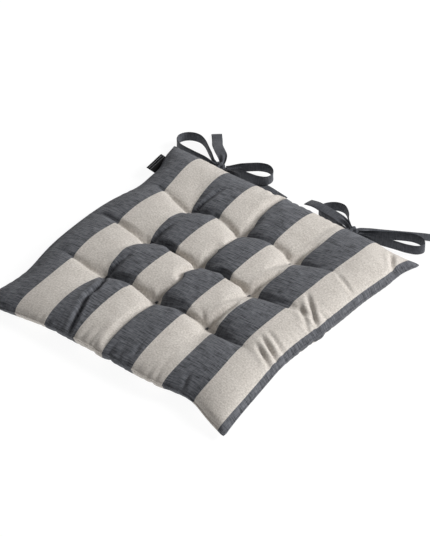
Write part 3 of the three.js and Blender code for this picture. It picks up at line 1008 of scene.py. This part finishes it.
def add_ribbon(shape, stitches, line, across, through, gather, hem=False, width=RIBBON_WIDTH):
    """A strip of folded, topstitched ribbon. gather is its share of full width at each point;
    what it loses in width it takes up in folds."""
    a = np.linspace(-1, 1, SECTION_POINTS)
    travelled = distance_along(line)
    half = ribbon_half_thickness(a, travelled, hem)
    fold_depth = FOLD_DEPTH * width * np.sqrt(1 - gather**2)
    wave = np.cos(1.5 * math.pi * a) - 0.2 * np.sin(2.5 * math.pi * a)
    slow_curl = 0.5 * np.sin(travelled / 17)[:, None] * (a**2)[None, :]
    middle_height = fold_depth[:, None] * wave[None, :] + slow_curl
    sideways = gather[:, None] * a[None, :] * width / 2
    flat = line[:, None] + across[:, None] * sideways[..., None]

    def layer(sign):
        return flat + through[:, None] * (middle_height + sign * half)[..., None]

    loops = np.concatenate([layer(1), layer(-1)[:, ::-1]], axis=1)
    places = np.stack(np.broadcast_arrays(a[None, :] * width / 2, travelled[:, None]), axis=-1)
    shape.add_loops(loops[:, ::-1], np.concatenate([places, places[:, ::-1]], axis=1)[:, ::-1])
    for sign in (1, -1):
        for edge_side in (-1, 1):
            k = int(np.argmin(np.abs(a - edge_side * STITCH_INSET)))
            for stitch in stitch_lines(layer(sign)[:, k], **TOPSTITCH):
                near = np.argmin(np.linalg.norm(line - stitch[2], axis=1))
                stitches.add_tube(stitch + sign * through[near] * TOPSTITCH_HUMP, TOPSTITCH_RADIUS, 4)


def gathers(line, kind, at_end):
    """The share of full width along a ribbon that a knot grips at its start, or at both ends."""
    travelled = distance_along(line)
    reach = np.minimum(travelled, travelled[-1] - travelled) if at_end else travelled
    t = np.clip(reach / GATHER_REACH[kind], 0, 1)
    return GATHER + (1 - GATHER) * t * t * (3 - 2 * t)


def make_stretch(side, part, look, stitches):
    """One loop or tail of a bow, and its line."""
    kind = part.split("_")[1]
    looped = kind == "loop"
    inside_knot = [] if looped else [np.array(ROUTES[side]["knot"]) - (0, TAIL_GRIP, 0)]
    line = smooth_line([*inside_knot, *ROUTES[side][part]], 2.2) + (PAD_SHIFT, 0, 0)
    across, through = ribbon_frames(line, standing=looped)
    shape = Shape()
    share = gathers(line, kind, at_end=looped)
    add_ribbon(shape, stitches, line, across, through, share, hem=not looped)
    node = f"{side}_tie_{part}"
    return shape.make(f"{node}_ribbon", look, "tie_ribbon", [node]), line


ROOT_SEWN_IN = 6
ROOT_HEIGHTS = dict(a=0.8, b=-0.8)  # the two roots of a pair lie one above the other in the seam


def make_root(side, part, height, look, stitches):
    """The stretch that leaves the seam for the knot, drawn from inside the seam past the point where
    the bow swings.
    """
    hinge, _ = joint_named(f"{side}_ties_swing")
    low, high = box_mm(f"{side}_tie_{part}_root")
    start = hinge + (0, -ROOT_SEWN_IN, height * 0.6)
    middle = hinge + (0, 1, height)
    end = np.array([hinge[0], high[1] + 1.5, (low[2] + high[2]) / 2])
    line = even_line(np.array([start, middle, end]), 1.1)
    across, through = ribbon_frames(line, standing=False)
    share = 1 - 0.35 * np.linspace(0, 1, len(line)) ** 2
    shape = Shape()
    add_ribbon(shape, stitches, line, across, through, share)
    node = f"{side}_tie_{part}_root"
    root = shape.make(f"{node}_ribbon", look, "tie_ribbon", [node])
    bend_at_seam(root)
    return root


def bend_at_seam(piece):
    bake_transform(piece)


def make_knot(side, look, stitches):
    """A band wound round the waist of the bow, over the gathered ribbons inside it."""
    node = f"{side}_bow_knot"
    middle, half = middle_and_half(node)
    shape = Shape()
    turn = np.linspace(-0.6 * math.pi, 1.9 * math.pi, 64)
    grow = np.linspace(0.80, 0.94, len(turn))
    drift = np.linspace(-1.0, 1.0, len(turn))
    ring = np.stack([drift, grow * half[1] * np.cos(turn), grow * half[2] * np.sin(turn)], axis=1)
    line = middle + ring
    through = unit(ring * (0, 1, 1))
    across = np.cross(through, unit(np.gradient(line, axis=0)))
    squeeze = 0.97 * (0.86 - 0.10 * np.cos(2 * turn))
    add_ribbon(shape, stitches, line, across, through, squeeze, width=half[0] * 2)
    shape.add_loops(*knot_core(middle, half))
    return shape.make(f"{node}_wrap", look, "tie_ribbon", [node])


def knot_core(middle, half):
    """The gathered ribbons inside the knot: rings of points, and their places on the cloth."""
    around = np.linspace(0, 2 * math.pi, 24, endpoint=False)[None, :]
    ends = np.linspace(-1, 1, 11)[:, None]
    size = (0.62 + 0.22 * ends**2 - 0.35 * ends**8) * (1 + 0.12 * np.cos(7 * around))
    rings = np.broadcast_arrays(
        ends * half[0] * 0.98, size * half[1] * np.cos(around), size * half[2] * np.sin(around)
    )
    places = np.broadcast_arrays(around * half[1], ends * half[0])
    return np.stack(rings, axis=-1) + middle, np.stack(places, axis=-1)


BARTACK_TURNS = 30


def make_bartack(side, line_top, look):
    """Close zigzag stitches that fasten a pair of ties to the seam."""
    node = f"{side}_tie_bartack"
    middle, half = middle_and_half(node)
    seam = line_top[np.argmin(np.linalg.norm((line_top - middle)[:, :2], axis=1))]
    place = np.array([middle[0], seam[1] - 0.6, seam[2] + 1.25])
    across = np.linspace(-half[0] + 0.4, half[0] - 0.4, BARTACK_TURNS)
    t = np.linspace(-1, 1, 5)
    shape = Shape()
    for k, (left, right) in enumerate(zip(across[:-1], across[1:])):
        flip = 1 if k % 2 else -1
        sideways = left + (t + 1) / 2 * (right - left)
        reach = np.stack([sideways, flip * t * half[1], 0.45 - 0.8 * t**4], axis=1)
        shape.add_tube(place + reach, 0.26, 5)
    tack = shape.make(f"{node}_zigzag", look, "seam_thread", [node])
    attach(tack, "pad")


def make_bow(side, ribbon, thread):
    """A pair of ties knotted in a bow: two loops, two tails, two roots and the knot."""
    stitches = Shape()
    body = f"{side}_ties"
    made = {}
    for part in ("a_loop", "b_loop", "a_tail", "b_tail"):
        made[part] = make_stretch(side, part, ribbon, stitches)
        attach(made[part][0], body)
    knot = make_knot(side, ribbon, stitches)
    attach(knot, body)
    sewn = stitches.make(f"{side}_tie_topstitch", thread, "seam_thread")
    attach(sewn, body)
    root_stitches = Shape()
    roots = [
        make_root(side, part, height, ribbon, root_stitches)
        for part, height in ROOT_HEIGHTS.items()
    ]
    root_sewn = root_stitches.make(f"{side}_tie_root_topstitch", thread, "seam_thread")
    bend_at_seam(root_sewn)


# ---- Label --------------------------------------------------------------------------------------
LABEL_REACH, LABEL_LENGTH = 14, 40
LABEL_TILT = math.radians(15)
LABEL_LAYER, LABEL_GAP = 0.45, 0.3
LABEL_SEWN_IN = 5


def make_label(look):
    """A folded tape caught in the seam: out, round a tight fold, and back."""
    hinge, axis = joint_named("label_flip")
    along = unit(axis)
    level_out = unit(np.cross(UP, along)) * (1, 1, 0)
    out = level_out * math.cos(LABEL_TILT) + UP * math.sin(LABEL_TILT)
    up = np.cross(along, out)
    up = up if up[2] > 0 else -up
    fold = np.linspace(0.5 * math.pi, -0.5 * math.pi, 9)
    radius = LABEL_GAP / 2 + LABEL_LAYER / 2
    tip = LABEL_REACH - radius - LABEL_LAYER / 2
    there = [(d, radius) for d in np.linspace(-LABEL_SEWN_IN, tip, 14)]
    turn = [(tip + radius * math.cos(f), radius * math.sin(f)) for f in fold[1:-1]]
    back = [(d, -radius) for d in np.linspace(tip, -LABEL_SEWN_IN, 14)]
    route = np.array([*there, *turn, *back])
    tangent = unit(np.gradient(route, axis=0))
    normal = np.stack([-tangent[:, 1], tangent[:, 0]], axis=1)
    travelled = distance_along(route)
    rings, places = [], []
    for s in np.linspace(-LABEL_LENGTH / 2, LABEL_LENGTH / 2, 31):
        wave = 0.25 * math.sin(s / 7) * np.clip(route[:, :1] / LABEL_REACH, 0, 1) ** 2
        faces = []
        for sign in (1, -1):
            section = route + normal * sign * LABEL_LAYER / 2
            faces.append(hinge + along * s + out * section[:, :1] + up * (section[:, 1:] + wave))
        rings.append(np.concatenate([faces[0], faces[1][::-1]]))
        place = np.stack([travelled, np.full(len(route), s)], axis=1)
        places.append(np.concatenate([place, place[::-1]]))
    shape = Shape()
    shape.add_loops(np.array(rings), np.array(places))
    label = shape.make("side_label_tape", look, "label_weave", ["side_label"])
    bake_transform(label)


# ---- Stage --------------------------------------------------------------------------------------
def make_floor():
    half = 60
    corners = [(-half, -half, 0), (half, -half, 0), (half, half, 0), (-half, half, 0)]
    mesh = bpy.data.meshes.new("floor")
    mesh.from_pydata(corners, [], [(0, 1, 2, 3)])
    look = Look("floor", roughness=1.0, specular=0.0)
    look.shader.inputs["Emission Color"].default_value = (1, 1, 1, 1)
    look.shader.inputs["Emission Strength"].default_value = 0.93
    mesh.materials.append(look.finish((0.1, 0.1, 0.1, 1)))
    floor = add_object("floor", mesh)
    floor.location.z = -0.0002


def area_light(name, place, target, size, power):
    data = bpy.data.lights.new(name, "AREA")
    data.shape = "RECTANGLE"
    data.size, data.size_y = size
    data.energy = power
    lamp = add_object(name, data)
    lamp.location = place
    aim(lamp, Vector(target) - Vector(place))


def make_light():
    world = bpy.data.worlds.new("studio")
    world.use_nodes = True
    backdrop = world.node_tree.nodes["Background"]
    backdrop.inputs["Color"].default_value = (1, 1, 1, 1)
    backdrop.inputs["Strength"].default_value = 0.27
    bpy.context.scene.world = world
    area_light("key", (4.7, 4.2, 4.2), (0, 0, 0), (3.6, 2.7), 722)
    bpy.context.scene.view_settings.view_transform = "Standard"


# ---- The whole object ---------------------------------------------------------------------------
make_camera()
tie_ribbon = ribbon_cloth()
sewing_thread = thread_look("seam_thread", (0.045, 0.047, 0.055, 1), (0.14, 0.145, 0.16, 1))
for bow_side in ("left", "right"):
    make_bow(bow_side, tie_ribbon, sewing_thread)

tuft_places = {}
for row_name, column_name in TUFTS:
    tack_middle, _ = middle_and_half(f"tuft_tack_{row_name}_{column_name}")
    tuft_places[row_name, column_name] = tuple(tack_middle[:2])

seam_low, seam_high = box_mm("edge_seam")
seam_edges = dict(
    left=seam_low[0] - 2, right=seam_high[0] - 13, front=seam_low[1] + 10, rear=seam_high[1] - 12
)
panel_corners = {
    (0, -1): (seam_low[0] - 18, seam_high[1] + 5, 11),
    (-1, -1): (seam_high[0] + 2, seam_high[1] + 2, 10),
    (-1, 0): (seam_high[0] - 7, seam_low[1] - 3, 9),
    (0, 0): (seam_low[0] - 2, seam_low[1] - 4, 9),
}
panels = settle(tuft_places, seam_edges, panel_corners)
top_panel, under_panel = shaped_panels(panels)
between = top_panel[..., 2] - under_panel[..., 2]
top_surface = finished_surface(top_panel, 1, tuft_places, between)
under_surface = finished_surface(under_panel, -1, tuft_places, between)

striped = cover_fabric()
make_filling(top_surface, under_surface, wadding())
make_cover("top_cover", top_surface, 1, striped)
make_cover("bottom_cover", under_surface, -1, striped)
make_seam(top_surface, under_surface, striped, sewing_thread)
tuft_thread = thread_look("tuft_thread", (0.03, 0.031, 0.035, 1), (0.10, 0.105, 0.115, 1))
for row_name, column_name in TUFTS:
    make_tack(row_name, column_name, top_surface, under_surface, tuft_thread)
for bow_side in ("left", "right"):
    make_bartack(bow_side, rim_loop(top_surface), sewing_thread)
make_label(label_tape())

make_floor()
make_light()
